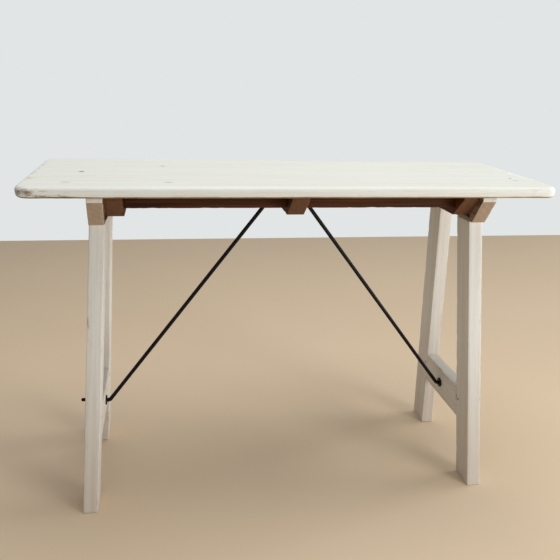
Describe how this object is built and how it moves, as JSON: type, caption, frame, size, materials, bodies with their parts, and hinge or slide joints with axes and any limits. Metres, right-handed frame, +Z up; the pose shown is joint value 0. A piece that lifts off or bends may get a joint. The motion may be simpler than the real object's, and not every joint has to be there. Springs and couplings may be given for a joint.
{
  "type": "folding table",
  "caption": "Narrow plank-topped console table on two folding A-frame trestles, braced by slanting iron rods from the middle of the top.",
  "frame": {"origin": "on the floor under the middle of the top", "axes": "+X along the top to the right, +Y to the back, +Z up"},
  "size_m": [1.154, 0.42, 0.76],
  "materials": {
    "whitewashed_top": "whitewashed, satin",
    "whitewashed_trestle": "whitewashed, matte",
    "brown_wood": "bare, dark brown",
    "peg_wood": "dark, matte",
    "hinge_steel": "dull",
    "screw_steel": "dull",
    "black_iron": "black, hand-forged"
  },
  "bodies": {
    "tabletop": {"top_board_front": "whitewashed_top", "top_board_middle": "whitewashed_top", "top_board_back": "whitewashed_top", "centre_cleat": "brown_wood", "left_end_cleat": "brown_wood", "right_end_cleat": "brown_wood", "front_apron_left": "brown_wood", "front_apron_right": "brown_wood", "back_apron_left": "brown_wood", "back_apron_right": "brown_wood", "left_cleat_screws": "screw_steel", "centre_cleat_screws": "screw_steel", "right_cleat_screws": "screw_steel", "apron_screws": "screw_steel", "left_front_hinge_cleat_leaf": "hinge_steel", "left_back_hinge_cleat_leaf": "hinge_steel", "left_front_hinge_pin": "hinge_steel", "left_back_hinge_pin": "hinge_steel", "left_cleat_hinge_screws": "screw_steel", "left_rod_bracket": "black_iron", "left_rod_rivet": "black_iron", "left_bracket_screws": "screw_steel", "right_front_hinge_cleat_leaf": "hinge_steel", "right_back_hinge_cleat_leaf": "hinge_steel", "right_front_hinge_pin": "hinge_steel", "right_back_hinge_pin": "hinge_steel", "right_cleat_hinge_screws": "screw_steel", "right_rod_bracket": "black_iron", "right_rod_rivet": "black_iron", "right_bracket_screws": "screw_steel"},
    "left_trestle": {"left_trestle_rail": "whitewashed_trestle", "left_front_leg": "whitewashed_trestle", "left_back_leg": "whitewashed_trestle", "left_trestle_stretcher": "whitewashed_trestle", "left_trestle_pegs": "peg_wood", "left_front_hinge_rail_leaf": "hinge_steel", "left_back_hinge_rail_leaf": "hinge_steel", "left_rail_hinge_screws": "screw_steel", "left_rod_bolt": "black_iron", "left_rod_flange": "black_iron", "left_rod_washer": "black_iron"},
    "left_rod": {"left_rod": "black_iron"},
    "left_nut": {"left_rod_nut": "black_iron"},
    "right_trestle": {"right_trestle_rail": "whitewashed_trestle", "right_front_leg": "whitewashed_trestle", "right_back_leg": "whitewashed_trestle", "right_trestle_stretcher": "whitewashed_trestle", "right_trestle_pegs": "peg_wood", "right_front_hinge_rail_leaf": "hinge_steel", "right_back_hinge_rail_leaf": "hinge_steel", "right_rail_hinge_screws": "screw_steel", "right_rod_bolt": "black_iron", "right_rod_flange": "black_iron", "right_rod_washer": "black_iron"},
    "right_rod": {"right_rod": "black_iron"},
    "right_nut": {"right_rod_nut": "black_iron"}
  },
  "joints": [
    {"name": "left_trestle_fold", "type": "hinge", "parent": "tabletop", "child": "left_trestle", "pos_m": [-0.4112, 0, 0.6785], "axis": [0, -1, 0], "range_deg": [0, 83]},
    {"name": "right_trestle_fold", "type": "hinge", "parent": "tabletop", "child": "right_trestle", "pos_m": [0.4112, 0, 0.6785], "axis": [0, 1, 0], "range_deg": [0, 46]},
    {"name": "left_rod_swing", "type": "hinge", "parent": "tabletop", "child": "left_rod", "pos_m": [-0.0455, -0.0053, 0.692], "axis": [0, -1, 0], "range_deg": [0, 98]},
    {"name": "right_rod_swing", "type": "hinge", "parent": "tabletop", "child": "right_rod", "pos_m": [0.0455, 0.0053, 0.692], "axis": [0, 1, 0], "range_deg": [0, 54.4]},
    {"name": "left_nut_turn", "type": "hinge", "parent": "left_trestle", "child": "left_nut", "pos_m": [-0.48267, -0.0053, 0.19335], "axis": [-0.9981, 0, 0.0613], "continuous": true},
    {"name": "right_nut_turn", "type": "hinge", "parent": "right_trestle", "child": "right_nut", "pos_m": [0.48267, 0.0053, 0.19335], "axis": [0.9981, 0, 0.0613], "continuous": true}
  ],
  "couplings": [
    {"joint": "left_rod_swing", "follows": "left_trestle_fold", "ratio": 1.18},
    {"joint": "right_rod_swing", "follows": "right_trestle_fold", "ratio": 1.18}
  ]
}
